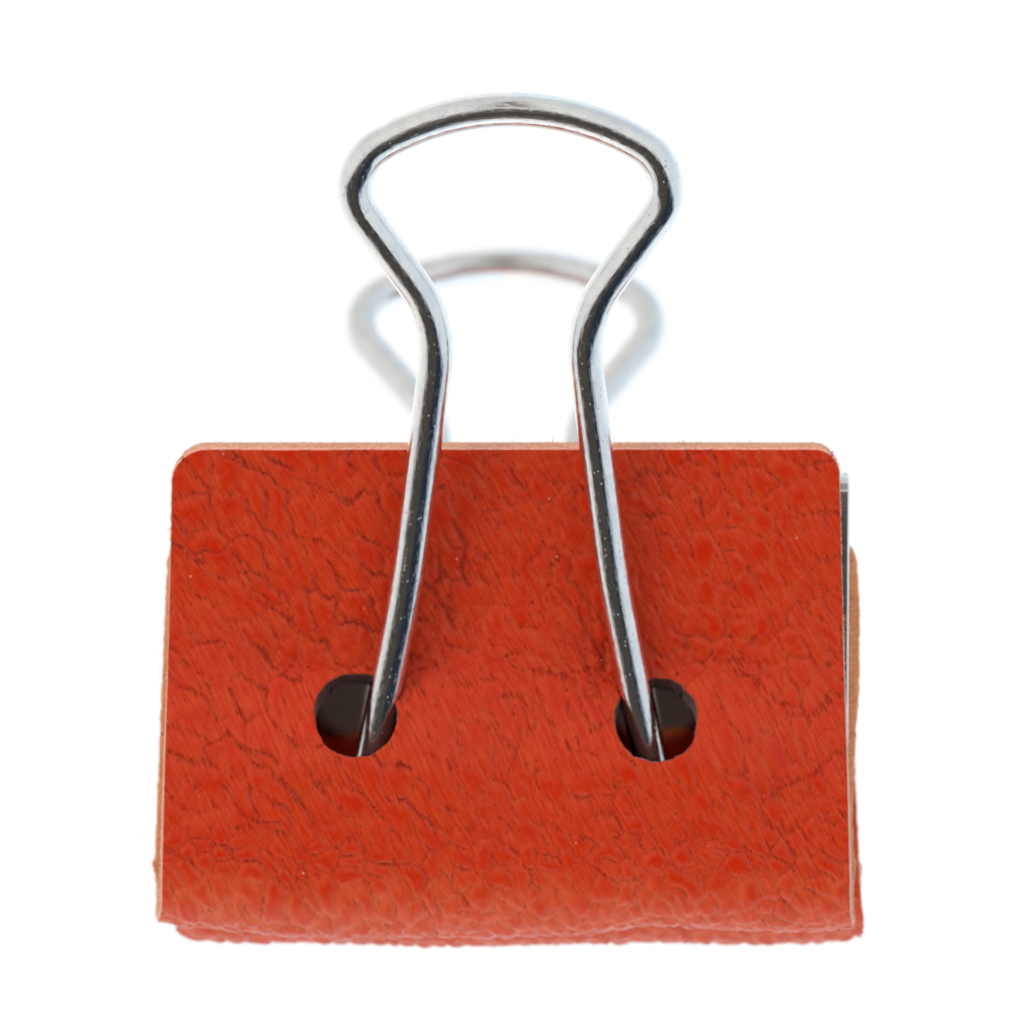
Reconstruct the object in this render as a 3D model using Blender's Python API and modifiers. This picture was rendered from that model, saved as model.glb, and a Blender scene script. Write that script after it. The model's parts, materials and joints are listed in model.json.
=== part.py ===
"""Leather-covered binder clip: a folded spring-steel body, two wire handles and two leather covers.

Frame: origin at the middle of the spine's outer face, X across the clip, -Y towards the front jaw, +Z out of the
spine, so the jaws point down. The back half is the front half turned half a turn about Z.

The steel body and each leather cover bend in use. Each is split where it bends, so that rigid pieces can turn:
the spring sheet at its two folds, and a cover where it rolls round the jaw.
"""

from math import atan2, cos, degrees, hypot, pi, radians, sin, tan

import bmesh
import bpy

MM = 0.001

# Spring body: one sheet folded at the spine, its free edges rolled into tubes.
BODY_WIDTH = 32.0 * MM
SHEET = 0.45 * MM
LEAF_ANGLE = radians(18.0)  # each leaf from the mid-plane
LEAF_LENGTH = 17.73 * MM  # tube axis to spine fold axis, along the leaf
FOLD_RADIUS = 0.70 * MM  # of the sheet's middle, at the spine folds
TUBE_BORE = 0.90 * MM  # radius
TUBE_TURN = 290.0  # degrees of roll
NOTCH_HALF = 8.7 * MM  # half the gap between a leaf's two tubes
NOTCH_SPARE = 0.01 * MM  # the notch stops this far short of the leaf's outer face
TUBE_OUT = 2.9 * MM  # tube axis from the mid-plane
FOLD_GAP = 0.40 * MM  # room for a leaf to turn beside the spine plate

# Wire handles.
WIRE_RADIUS = 0.80 * MM
HANDLE_TILT = radians(7.6)  # handle plane from its leaf
HANDLE_HEIGHT = 36.9 * MM  # tube axis to the crown's middle
LOOP_HALF = 7.22 * MM  # half the loop's width at its widest
LOOP_WIDEST = 33.15 * MM  # height of that widest place
CORNER_RADIUS = 2.4 * MM
SHOULDER_ANGLE = radians(35.5)  # shoulders from upright
NECK_HEIGHT = 26.8 * MM
NECK_RADIUS = 5.9 * MM
LEG_BOW = (4.86 * MM, 14.0 * MM)  # where a leg turns slightly, (across, up)
LEG_BOW_RADIUS = 60.0 * MM
LEG_FOOT = 7.62 * MM  # leg from the middle, at the tube axis
FOOT_RADIUS = 1.2 * MM
TIP_END = 13.5 * MM

# Leather covers.
LEATHER = 1.30 * MM
SKIN_GAP = 0.12 * MM  # leather to steel
TONGUE = 15.4 * MM  # inner end above the tube axis
FOLD_END = 120.0  # degrees of roll that stay with the jaw
FLAP_START = 145.0  # degrees of roll where the moving panel starts
FLAP_TOP = 20.1 * MM  # top edge above the tube axis
HUMP = (5.6 * MM, 3.40 * MM)  # (up, out from the leaf): leather middle where it lifts over the wires
SETTLE = 9.6 * MM  # height above the tube axis where the panel meets the leaf again
HUMP_RADIUS = 3.0 * MM
COVER_CORNER = 1.4 * MM
HOLE_RADIUS = 1.92 * MM
HOLE_ACROSS = 7.05 * MM
HOLE_UP = 7.50 * MM
WIRE_GROOVE = 0.12 * MM  # clearance that the wires press into the leather

# The covers are cut and fitted by hand: each has its own (width at the fold, width at the top, shift along X).
FRONT_COVER = (33.0 * MM, 31.4 * MM, -0.27 * MM)
BACK_COVER = (33.0 * MM, 31.4 * MM, 0.40 * MM)

CUTTER_MARGIN = 3.0 * MM
WELD = 0.001 * MM

# Sizes that follow from those above.
TUBE_MIDDLE = TUBE_BORE + SHEET / 2  # radius of the sheet's middle in the tube
TUBE_PROUD = FOLD_RADIUS + TUBE_MIDDLE  # tube axis out from the fold axis, square to the leaf
FOLD_OUT = TUBE_OUT + LEAF_LENGTH * sin(LEAF_ANGLE) - TUBE_PROUD * cos(LEAF_ANGLE)
FOLD_DOWN = FOLD_RADIUS + SHEET / 2  # spine fold axis below the spine's outer face
COVER_RADIUS = TUBE_MIDDLE + SHEET / 2 + SKIN_GAP + LEATHER / 2  # of the leather's middle in its roll
LEAF_FACE = TUBE_BORE  # tube axis to the leaf's outer face


def clear_scene():
    for obj in list(bpy.data.objects):
        bpy.data.objects.remove(obj)


def new_collection(name):
    collection = bpy.data.collections.new(name)
    bpy.context.scene.collection.children.link(collection)
    return collection


def plain_material(name, colour, roughness, metallic):
    material = bpy.data.materials.new(name)
    material.use_nodes = True
    shader = material.node_tree.nodes["Principled BSDF"]
    shader.inputs["Base Color"].default_value = (*colour, 1.0)
    shader.inputs["Roughness"].default_value = roughness
    shader.inputs["Metallic"].default_value = metallic
    return material


# Flat drawing: points are (a, b) pairs in some plane.


def arc(centre, radius, start, end, steps):
    """Points from angle start to end, in degrees; the angle falls where end is below start."""
    angles = [radians(start + (end - start) * i / steps) for i in range(steps + 1)]
    return [(centre[0] + radius * cos(a), centre[1] + radius * sin(a)) for a in angles]


def unit(a, b):
    length = hypot(b[0] - a[0], b[1] - a[1])
    return (b[0] - a[0]) / length, (b[1] - a[1]) / length


def fillet(before, corner, after, radius, steps):
    """Arc that rounds the corner between two straight stretches."""
    u, v = unit(corner, before), unit(corner, after)
    half = atan2(abs(u[0] * v[1] - u[1] * v[0]), u[0] * v[0] + u[1] * v[1]) / 2
    bisector = unit((0.0, 0.0), (u[0] + v[0], u[1] + v[1]))
    reach = radius / sin(half)
    centre = (corner[0] + bisector[0] * reach, corner[1] + bisector[1] * reach)
    tangent = radius / tan(half)
    first = (corner[0] + u[0] * tangent, corner[1] + u[1] * tangent)
    last = (corner[0] + v[0] * tangent, corner[1] + v[1] * tangent)
    start = atan2(first[1] - centre[1], first[0] - centre[0])
    end = atan2(last[1] - centre[1], last[0] - centre[0])
    turn = (end - start + pi) % (2 * pi) - pi
    return arc(centre, radius, degrees(start), degrees(start + turn), steps)


# Solids.


def add_spline(curve, points, cyclic):
    spline = curve.splines.new("POLY")
    spline.points.add(len(points) - 1)
    for target, point in zip(spline.points, points):
        target.co = (*point, 0.0, 1.0)
    spline.use_cyclic_u = cyclic


def as_mesh(obj, collection):
    """The curve object turned into a mesh object in the same place, with its loose edges welded."""
    bpy.context.view_layer.update()
    evaluated = obj.evaluated_get(bpy.context.evaluated_depsgraph_get())
    mesh = bpy.data.meshes.new_from_object(evaluated)
    work = bmesh.new()
    work.from_mesh(mesh)
    bmesh.ops.remove_doubles(work, verts=work.verts, dist=WELD)
    work.to_mesh(mesh)
    work.free()
    name, place = obj.name, obj.matrix_world.copy()
    bpy.data.objects.remove(obj)
    made = bpy.data.objects.new(name, mesh)
    made.matrix_world = place
    collection.objects.link(made)
    return made


def side_sheet(name, path, width, thickness, collection):
    """A sheet of even thickness: path, as (y, z), is the sheet's middle in the side view, swept along X."""
    curve = bpy.data.curves.new(name, "CURVE")
    curve.dimensions = "2D"
    curve.fill_mode = "NONE"
    curve.extrude = width / 2
    add_spline(curve, path, cyclic=False)
    guide = bpy.data.objects.new(name, curve)
    guide.rotation_euler = (radians(90), 0, radians(90))
    collection.objects.link(guide)
    sheet = as_mesh(guide, collection)
    sheet.data.transform(sheet.matrix_world)
    sheet.matrix_world.identity()
    solid = sheet.modifiers.new("Thickness", "SOLIDIFY")
    solid.thickness = thickness
    solid.offset = 0.0
    solid.use_even_offset = True
    return sheet


def front_prism(name, outline, depth, collection):
    """A block whose outline, as (x, z), is seen from the front."""
    curve = bpy.data.curves.new(name, "CURVE")
    curve.dimensions = "2D"
    curve.fill_mode = "BOTH"
    curve.extrude = depth / 2
    add_spline(curve, outline, cyclic=True)
    guide = bpy.data.objects.new(name, curve)
    guide.rotation_euler = (radians(90), 0, 0)
    collection.objects.link(guide)
    return as_mesh(guide, collection)


def wire(name, points, radius, collection):
    curve = bpy.data.curves.new(name, "CURVE")
    curve.dimensions = "3D"
    curve.bevel_depth = radius
    curve.bevel_resolution = 2
    curve.resolution_u = 1
    curve.use_fill_caps = True
    add_spline(curve, points, cyclic=False)
    obj = bpy.data.objects.new(name, curve)
    collection.objects.link(obj)
    return obj


def boolean(obj, cutter, operation):
    cutter.hide_render = True
    cutter.display_type = "WIRE"
    modifier = obj.modifiers.new(cutter.name, "BOOLEAN")
    modifier.operation = operation
    modifier.solver = "EXACT"
    modifier.object = cutter


def box(name, low, high, collection):
    bpy.ops.mesh.primitive_cube_add(size=1.0)
    cube = bpy.context.object
    cube.name = name
    cube.location = [(a + b) / 2 for a, b in zip(low, high)]
    cube.scale = [b - a for a, b in zip(low, high)]
    move_to(cube, collection)
    return cube


def punch(name, across, up, radius, length, collection):
    """A round cutter along Y."""
    bpy.ops.mesh.primitive_cylinder_add(vertices=32, radius=radius, depth=length)
    cylinder = bpy.context.object
    cylinder.name = name
    cylinder.location = (across, 0, up)
    cylinder.rotation_euler = (radians(90), 0, 0)
    move_to(cylinder, collection)
    return cylinder


def move_to(obj, collection):
    for owner in list(obj.users_collection):
        owner.objects.unlink(obj)
    collection.objects.link(obj)


def empty(name, location, rotation, parent, collection):
    axis = bpy.data.objects.new(name, None)
    axis.empty_display_size = 5 * MM
    axis.location = location
    axis.rotation_euler = rotation
    axis.parent = parent
    collection.objects.link(axis)
    return axis


# Outlines of the parts. A jaw's own frame has its origin on the spine fold's axis, +Z up along the leaf and -Y
# outward. A handle's own frame is the same, moved to the tube's axis.


def leaf_path():
    """Middle of a leaf's sheet: spine fold, flat leaf, rolled tube."""
    fold = arc((0, 0), FOLD_RADIUS, 90 - degrees(LEAF_ANGLE), 180, 8)
    tube = arc((-TUBE_PROUD, -LEAF_LENGTH), TUBE_MIDDLE, 0, -TUBE_TURN, 24)
    return fold + tube


def cover_fold_path():
    """Middle of the leather that stays with the jaw: inner tongue and the start of the roll."""
    tongue_top = (COVER_RADIUS - TUBE_PROUD, TONGUE - LEAF_LENGTH)
    roll = arc((-TUBE_PROUD, -LEAF_LENGTH), COVER_RADIUS, 0, -FOLD_END, 12)
    return [tongue_top] + roll


def cover_flap_path():
    """Middle of the leather that moves with the handle: end of the roll, hump over the wires, flat panel."""
    roll = arc((0, 0), COVER_RADIUS, -FLAP_START, -180, 4)
    hump = (LEAF_FACE - HUMP[1], HUMP[0])
    flat = LEAF_FACE - SKIN_GAP - LEATHER / 2
    settle, top = (flat, SETTLE), (flat, FLAP_TOP)
    path = roll + fillet(roll[-1], hump, settle, HUMP_RADIUS, 6)
    path += fillet(hump, settle, top, HUMP_RADIUS, 6)
    return path + [top]


def cover_outline(bottom, top, bottom_width, top_width):
    """Front view of a cover's end: straight tapered sides and two rounded corners at the top."""
    low_left, low_right = (-bottom_width / 2, bottom), (bottom_width / 2, bottom)
    top_left, top_right = (-top_width / 2, top), (top_width / 2, top)
    right = fillet(low_right, top_right, top_left, COVER_CORNER, 6)
    left = fillet(top_right, top_left, low_left, COVER_CORNER, 6)
    return [low_left, low_right] + right + left


def handle_half_path():
    """Right half of a handle's centreline as (across, up), from the crown's middle to the tip."""
    corner = (LOOP_HALF - CORNER_RADIUS, LOOP_WIDEST)
    rise = HANDLE_HEIGHT - corner[1]
    # The crown is the arc that peaks at the handle's height and runs smoothly into the corner's arc.
    crown_radius = (corner[0] ** 2 + rise**2 - CORNER_RADIUS**2) / (2 * (rise - CORNER_RADIUS))
    crown = (0.0, HANDLE_HEIGHT - crown_radius)
    meet = degrees(atan2(corner[1] - crown[1], corner[0]))
    shoulder = -degrees(SHOULDER_ANGLE)
    path = arc(crown, crown_radius, 90, meet, 8)
    path += arc(corner, CORNER_RADIUS, meet, shoulder, 10)[1:]
    shoulder_end = path[-1]
    neck = (shoulder_end[0] - (shoulder_end[1] - NECK_HEIGHT) * tan(SHOULDER_ANGLE), NECK_HEIGHT)
    foot, tip = (LEG_FOOT, 0.0), (TIP_END, 0.0)
    path += fillet(shoulder_end, neck, LEG_BOW, NECK_RADIUS, 6)
    path += fillet(neck, LEG_BOW, foot, LEG_BOW_RADIUS, 4)
    path += fillet(LEG_BOW, foot, tip, FOOT_RADIUS, 6)
    return path + [tip]


def handle_path():
    right = handle_half_path()
    left = [(-across, up) for across, up in right[:0:-1]]
    return left + right


# Parts.


def make_spine_plate(parts):
    half = FOLD_OUT - FOLD_GAP
    middle = -SHEET / 2
    return side_sheet("spine_plate", [(-half, middle), (half, middle)], BODY_WIDTH, SHEET, parts)


def make_leaf(side, parts, cutters):
    leaf = side_sheet(f"{side}_leaf", leaf_path(), BODY_WIDTH, SHEET, parts)
    face = -FOLD_RADIUS - SHEET / 2 - NOTCH_SPARE
    reach = TUBE_PROUD + TUBE_MIDDLE + SHEET
    edge = -LEAF_LENGTH
    below = box(
        f"{side}_notch_below",
        (-NOTCH_HALF, -reach, edge - CUTTER_MARGIN),
        (NOTCH_HALF, CUTTER_MARGIN, edge),
        cutters,
    )
    above = box(
        f"{side}_notch_above",
        (-NOTCH_HALF, -reach, edge - CUTTER_MARGIN),
        (NOTCH_HALF, face, edge + CUTTER_MARGIN),
        cutters,
    )
    for cutter in (below, above):
        boolean(leaf, cutter, "DIFFERENCE")
    return leaf, [below, above]


def make_cover_fold(side, size, shift, parts, cutters):
    width = size[0]
    fold = side_sheet(f"{side}_cover_fold", cover_fold_path(), width, LEATHER, parts)
    bottom = -LEAF_LENGTH - 2 * CUTTER_MARGIN
    outline = cover_outline(bottom, TONGUE - LEAF_LENGTH, width, width)
    trim = front_prism(f"{side}_tongue_trim", outline, 8 * CUTTER_MARGIN, cutters)
    boolean(fold, trim, "INTERSECT")
    for obj in (fold, trim):
        obj.location.x = shift
    return fold, [trim]


def make_cover_flap(side, size, shift, parts, cutters):
    fold_width, top_width = size
    flap = side_sheet(f"{side}_cover_flap", cover_flap_path(), max(size), LEATHER, parts)
    outline = cover_outline(-CUTTER_MARGIN, FLAP_TOP, fold_width, top_width)
    trim = front_prism(f"{side}_flap_trim", outline, 8 * CUTTER_MARGIN, cutters)
    boolean(flap, trim, "INTERSECT")
    punches = []
    for name, hand in (("left", -1), ("right", 1)):
        across = hand * HOLE_ACROSS
        hole = punch(f"{side}_{name}_punch", across, HOLE_UP, HOLE_RADIUS, 6 * CUTTER_MARGIN, cutters)
        boolean(flap, hole, "DIFFERENCE")
        punches.append(hole)
    for obj in [flap, trim] + punches:
        obj.location.x += shift
    groove = wire(f"{side}_groove", handle_path(), WIRE_RADIUS + WIRE_GROOVE, cutters)
    groove.rotation_euler = (radians(90) + HANDLE_TILT, 0, 0)
    groove = as_mesh(groove, cutters)
    boolean(flap, groove, "DIFFERENCE")
    return flap, [trim, groove] + punches


def make_handle(side, parts):
    handle = wire(f"{side}_handle", handle_path(), WIRE_RADIUS, parts)
    handle.rotation_euler = (radians(90) + HANDLE_TILT, 0, 0)
    return handle


def make_half(side, turn, cover, parts, cutters, axes):
    """One leaf with its handle and cover, hung on the empties that mark its two joint axes."""
    size, shift = cover[:2], cover[2] * cos(turn)
    half = empty(f"{side}_side", (0, 0, 0), (0, 0, turn), None, axes)
    jaw = empty(f"{side}_jaw_axis", (0, -FOLD_OUT, -FOLD_DOWN), (LEAF_ANGLE, 0, 0), half, axes)
    pivot = empty(f"{side}_handle_axis", (0, -TUBE_PROUD, -LEAF_LENGTH), (0, 0, 0), jaw, axes)
    leaf, leaf_cutters = make_leaf(side, parts, cutters)
    fold, fold_cutters = make_cover_fold(side, size, shift, parts, cutters)
    flap, flap_cutters = make_cover_flap(side, size, shift, parts, cutters)
    handle = make_handle(side, parts)
    for obj in [leaf, fold] + leaf_cutters + fold_cutters:
        obj.parent = jaw
    for obj in [flap, handle] + flap_cutters:
        obj.parent = pivot
    steel, leather, chrome = materials()
    leaf.data.materials.append(steel)
    fold.data.materials.append(leather)
    flap.data.materials.append(leather)
    handle.data.materials.append(chrome)


def materials():
    if "plated_steel" not in bpy.data.materials:
        plain_material("plated_steel", (0.62, 0.62, 0.63), 0.18, 1.0)
        plain_material("orange_leather", (0.55, 0.06, 0.02), 0.50, 0.0)
        plain_material("plated_wire", (0.66, 0.66, 0.67), 0.12, 1.0)
    return [bpy.data.materials[name] for name in ("plated_steel", "orange_leather", "plated_wire")]


def main():
    clear_scene()
    parts = new_collection("binder_clip")
    axes = new_collection("joint_axes")
    cutters = new_collection("cutters")
    spine = make_spine_plate(parts)
    spine.data.materials.append(materials()[0])
    make_half("front", 0.0, FRONT_COVER, parts, cutters, axes)
    make_half("back", pi, BACK_COVER, parts, cutters, axes)


main()
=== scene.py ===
"""Visual model of the leather-covered binder clip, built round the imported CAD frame.

Lengths are in millimetres until a mesh is made. A cover, a leaf and a handle are drawn in their leaf's own
coordinates: x across the clip, s up the leaf from the tube's axis, h out from the leaf's outer face.
"""

import json
from math import cos, pi, radians, sin, tan

import bpy
import numpy as np
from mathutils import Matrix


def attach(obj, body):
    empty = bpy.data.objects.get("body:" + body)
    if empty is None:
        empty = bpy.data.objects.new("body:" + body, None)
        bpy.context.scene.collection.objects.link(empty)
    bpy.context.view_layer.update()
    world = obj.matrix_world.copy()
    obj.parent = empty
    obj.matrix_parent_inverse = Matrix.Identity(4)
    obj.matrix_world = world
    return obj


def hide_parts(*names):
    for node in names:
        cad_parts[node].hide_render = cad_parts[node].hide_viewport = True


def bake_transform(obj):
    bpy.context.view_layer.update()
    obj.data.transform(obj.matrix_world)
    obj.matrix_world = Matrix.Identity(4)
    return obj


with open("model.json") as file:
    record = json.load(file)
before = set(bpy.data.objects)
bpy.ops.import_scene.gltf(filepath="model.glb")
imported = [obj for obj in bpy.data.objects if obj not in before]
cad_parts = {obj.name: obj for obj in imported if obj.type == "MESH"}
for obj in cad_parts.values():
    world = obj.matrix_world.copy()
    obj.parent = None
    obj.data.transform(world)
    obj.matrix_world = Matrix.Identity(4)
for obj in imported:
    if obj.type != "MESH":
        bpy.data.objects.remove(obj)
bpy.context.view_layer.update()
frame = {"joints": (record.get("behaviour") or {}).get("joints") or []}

MM = 0.001
HANDS = {"front": 1.0, "back": -1.0}  # the back half is the front one turned about Z

# Steel body, as in the CAD.
BODY_WIDTH = 32.0
SHEET = 0.45
LEAF_ANGLE = radians(18.0)
LEAF_LENGTH = 17.73
FOLD_RADIUS = 0.70
TUBE_BORE = 0.90
TUBE_TURN = radians(290.0)
NOTCH_HALF = 8.7
TUBE_MIDDLE = TUBE_BORE + SHEET / 2
TUBE_PROUD = FOLD_RADIUS + TUBE_MIDDLE
EDGE_ROUND = 0.10

# Wire handles, as in the CAD.
WIRE_RADIUS = 0.80
HANDLE_TILT = radians(7.6)
HANDLE_HEIGHT = 36.9
LOOP_HALF = 7.22
LOOP_WIDEST = 33.15
CORNER_RADIUS = 2.4
SHOULDER_ANGLE = radians(35.5)
NECK_HEIGHT = 26.8
NECK_RADIUS = 5.9
LEG_BOW = (4.86, 14.0)
LEG_BOW_RADIUS = 60.0
LEG_FOOT = 7.62
FOOT_RADIUS = 1.2
TIP_END = 13.5
WIRE_SIDES = 40
WIRE_STEP = 0.25
TIP_CHAMFER = 0.18

# Leather covers.
LEATHER = 1.30
SKIN_GAP = 0.12
TONGUE_TOP = 15.4
TONGUE_CORNER = 1.0
TONGUE_CUT = 6.2  # the strip ends here; the tongue above it is its own piece
ROLL_RADIUS = TUBE_MIDDLE + SHEET / 2 + SKIN_GAP + LEATHER / 2
FLAP_TOP = 20.1
HOLE_RADIUS = 1.92
HOLE_SQUASH = (1.02, 0.90)  # across and up
HOLE_ACROSS = 7.2  # about how far the holes are from the middle
WIRE_CLEARANCE = 0.03
TONGUE_STEP = 0.25
SAG_PASSES = 24  # of smoothing, across the roll
# Height of the flap's middle above the leaf, as (height above the tube axis, height above the leaf).
FLAP_OVER_WIRE = (
    (0, 3.02), (2.8, 3.26), (5.3, 3.36), (6.4, 3.05), (7.5, 2.3), (8.6, 1.4), (9.3, 0.9),
    (10.2, 0.77), (21, 0.77),
)
FLAP_AT_SIDE = ((0, 3.02), (2, 2.95), (5, 2.5), (8, 1.75), (11, 1.1), (13, 0.82), (21, 0.77))
# Rows of points down a cut edge, as shares of the way from the grain to the flesh.
CUT_ROWS = (0.05, 0.14, 0.30, 0.50, 0.72, 0.90)
FUZZ = 0.05
FIBRE_DEPTH = 0.6
FIBRES_AT_SIDES = 90
FIBRES_AT_TOP = 70
FIBRES_IN_TUFT = 46
TUFT_HEIGHT = 11.4

# Camera and stage.
TARGET = (0.07, -2.91, -1.24)
VIEW_RISE = radians(9.65)  # the camera looks up by this much
VIEW_DISTANCE = 447.0
FOCUS = 435.0
LENS = 330.0
SENSOR_WIDTH = 36.0
APERTURE = 58.0
FLOOR_DROP = 160.0  # below the spine
FLOOR_HALF = 1500.0
# Name, place and diameter in metres, power in watts.
LIGHTS = (
    ("key_light", (-0.36, -0.48, 0.27), 0.28, 1.2),
    ("fill_light", (0.50, -0.55, -0.05), 0.60, 0.45),
    ("under_light", (0.0, -0.02, -0.14), 0.10, 0.050),
)

# The dark part of the surroundings: its upper and lower edge as (degrees to the right of the front, rise).
DARK_TOP = (
    (-180, -25), (-60, -23), (-30, -26), (-20, -27), (-12, -9), (0, -4), (12, -9), (20, -27), (33, -34),
    (180, -34),
)
DARK_BOTTOM = ((-180, -45), (-80, -52), (-30, -70), (0, -74), (30, -70), (80, -52), (180, -45))

FRONT = {
    "name": "front",
    "seed": 11,
    "step": 0.10,
    "fold_edges": (-16.38, 15.94),
    "top_edges": (-15.84, 15.40),
    # height above the tube axis, left and right edge
    "tongue": (
        (0.0, -16.86, 16.28), (2.5, -16.74, 16.18), (6.2, -16.57, 16.33), (8.2, -16.48, 16.48),
        (12.0, -16.30, 16.48), (15.4, -16.14, 16.28),
    ),
    "holes": ((-7.30, 7.41), (6.80, 7.20)),
    "corners": (1.55, 1.15),
    "handle_lean": (0.0, 0.0),
    # how far the roll hangs below a round one, at places across
    "sag": (
        (-16.9, -0.62), (-16.3, -0.26), (-15.4, -0.10), (-13.2, 0.06), (-10.4, 0.36), (-7.1, 0.46),
        (0.3, 0.42), (4.2, 0.12), (6.3, -0.16), (8.0, -0.16), (10.3, 0.12), (13.2, 0.17), (15.2, 0.10),
        (16.0, -0.14), (16.5, -0.52),
    ),
}

BACK = {
    "name": "back",
    "seed": 47,
    "step": 0.15,
    "fold_edges": (-16.60, 15.62),
    "top_edges": (-15.90, 15.20),
    "tongue": ((0.0, -16.60, 15.62), (15.4, -16.20, 15.40)),
    "holes": ((-7.45, 7.35), (6.65, 7.35)),
    "corners": (1.35, 1.45),
    "handle_lean": (0.28, 0.22),
    "sag": (
        (-16.9, -0.75), (-16.3, -0.25), (-15.0, 0.0), (-9.0, 0.05), (-3.0, 0.0), (4.0, 0.06), (10.0, 0.0),
        (14.5, 0.02), (15.2, -0.2), (15.7, -0.8),
    ),
}


# Small maths.


def smoothstep(low, high, value):
    t = np.clip((value - low) / (high - low), 0.0, 1.0)
    return t * t * (3 - 2 * t)


def bell(value, centre, width):
    return np.exp(-(((value - centre) / width) ** 2))


def mix(a, b, share):
    return a * (1 - share) + b * share


def unit(vectors):
    """Vectors, along the last axis, at length 1."""
    return vectors / np.maximum(np.linalg.norm(vectors, axis=-1, keepdims=True), 1e-9)


def follow(value, places):
    """Straight stretches between pairs of (value, result)."""
    return np.interp(value, *zip(*places))


def noise(a, b, seed):
    """Smooth noise in -1..1 whose features are about one unit wide."""
    table = np.random.default_rng(seed).uniform(-1.0, 1.0, (128, 128))
    i, j = np.floor(a).astype(int), np.floor(b).astype(int)
    u, v = a - i, b - j
    u, v = u * u * u * (u * (6 * u - 15) + 10), v * v * v * (v * (6 * v - 15) + 10)
    low = mix(table[i % 128, j % 128], table[(i + 1) % 128, j % 128], u)
    high = mix(table[i % 128, (j + 1) % 128], table[(i + 1) % 128, (j + 1) % 128], u)
    return mix(low, high, v)


def noise_of(x, v, size, seed):
    """Smooth noise whose features have about the given size."""
    return noise(x / size, v / size, seed)


def turned(x, y, angle, along, across):
    """Coordinates along and across a direction given in degrees, in units of two lengths."""
    c, s = cos(radians(angle)), sin(radians(angle))
    return (x * c + y * s) / along, (y * c - x * s) / across


def cells(a, b, seed):
    """Irregular cells of about one unit: distance to the nearest border, the border's angle, a tone."""
    rng = np.random.default_rng(seed)
    jitter = rng.uniform(0.06, 0.94, (2, 128, 128))
    tone = rng.uniform(-1.0, 1.0, (128, 128))
    i, j = np.floor(a).astype(int), np.floor(b).astype(int)
    around = [(m, n) for m in (-2, -1, 0, 1, 2) for n in (-2, -1, 0, 1, 2)]

    def seed_point(m, n):
        cell = ((i + m) % 128, (j + n) % 128)
        return np.stack([i + m + jitter[0][cell], j + n + jitter[1][cell], tone[cell]])

    nearest, own = np.full(a.shape, 1e9), np.zeros((3, *a.shape))
    for m, n in around:
        point = seed_point(m, n)
        far = (point[0] - a) ** 2 + (point[1] - b) ** 2
        own = np.where(far < nearest, point, own)
        nearest = np.minimum(far, nearest)
    own_a, own_b, own_tone = own
    border, angle = np.full(a.shape, 1e9), np.zeros(a.shape)
    for m, n in around:
        p, q, _ = seed_point(m, n)
        da, db = p - own_a, q - own_b
        length = np.hypot(da, db)
        other = length > 1e-6
        length = np.where(other, length, 1.0)
        across = (((p + own_a) / 2 - a) * da + ((q + own_b) / 2 - b) * db) / length
        closer = other & (across < border)
        border = np.where(closer, across, border)
        angle = np.where(closer, np.arctan2(db, da), angle)
    return border, angle, own_tone


# Drawing a leaf's own coordinates in the row frame.


def joint_place(name):
    found = [joint for joint in frame["joints"] if joint["name"] == name]
    return np.array(found[0]["pos_m"]) / MM


TUBE_AXIS = joint_place("front_handle_swing")
FOLD_AXIS = joint_place("front_jaw_open")


def leaf_to_frame(x, s, h, side):
    """A leaf's own coordinates as points in the row frame."""
    out = h - TUBE_BORE
    y = TUBE_AXIS[1] - s * sin(LEAF_ANGLE) - out * cos(LEAF_ANGLE)
    z = TUBE_AXIS[2] + s * cos(LEAF_ANGLE) - out * sin(LEAF_ANGLE)
    hand = HANDS[side]
    return np.stack([x * hand, y * hand, z + 0 * x], axis=-1)


# Meshes.


def make_object(name, points, faces, face_materials, materials, attributes, smooth_angle):
    """A mesh object from points in millimetres and faces. Each attribute holds a value for every point."""
    mesh = bpy.data.meshes.new(name)
    mesh.from_pydata((points * MM).tolist(), [], faces)
    if signed_volume(points, faces) < 0:
        mesh.flip_normals()
    mesh.polygons.foreach_set("material_index", face_materials)
    for key, values in attributes.items():
        kind, field = ("FLOAT", "value") if values.ndim == 1 else ("FLOAT_VECTOR", "vector")
        layer = mesh.attributes.new(key, kind, "POINT")
        layer.data.foreach_set(field, values.astype(np.float32).ravel())
    for material in materials:
        mesh.materials.append(material)
    mesh.shade_smooth()
    if smooth_angle is not None:
        mesh.set_sharp_from_angle(angle=radians(smooth_angle))
    mesh.update()
    obj = bpy.data.objects.new(name, mesh)
    bpy.context.scene.collection.objects.link(obj)
    return obj


def signed_volume(points, faces):
    """Positive where a closed mesh's faces point outward."""
    total = 0.0
    by_size = {}
    for face in faces:
        by_size.setdefault(len(face), []).append(face)
    for group in by_size.values():
        corners = points[np.array(group)]
        for k in range(1, corners.shape[1] - 1):
            total += np.einsum("ij,ij->", corners[:, 0], np.cross(corners[:, k], corners[:, k + 1]))
    return total


def rim_loops(keep):
    """Border edges of a grid's kept cells, as pairs of point numbers, all turning the same way."""
    rows, cols = keep.shape
    number = np.arange((rows + 1) * (cols + 1)).reshape(rows + 1, cols + 1)
    padded = np.pad(keep, 1)
    corners = ((0, 0), (0, 1), (1, 1), (1, 0))
    edges = []
    for start, end in zip(corners, corners[1:] + corners[:1]):
        down, right = start[0] + end[0], start[1] + end[1]
        i, j = np.nonzero(keep & ~padded[down : down + rows, right : right + cols])
        edges.append(np.stack([number[i + m, j + n] for m, n in (start, end)], axis=1))
    return np.concatenate(edges)


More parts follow.
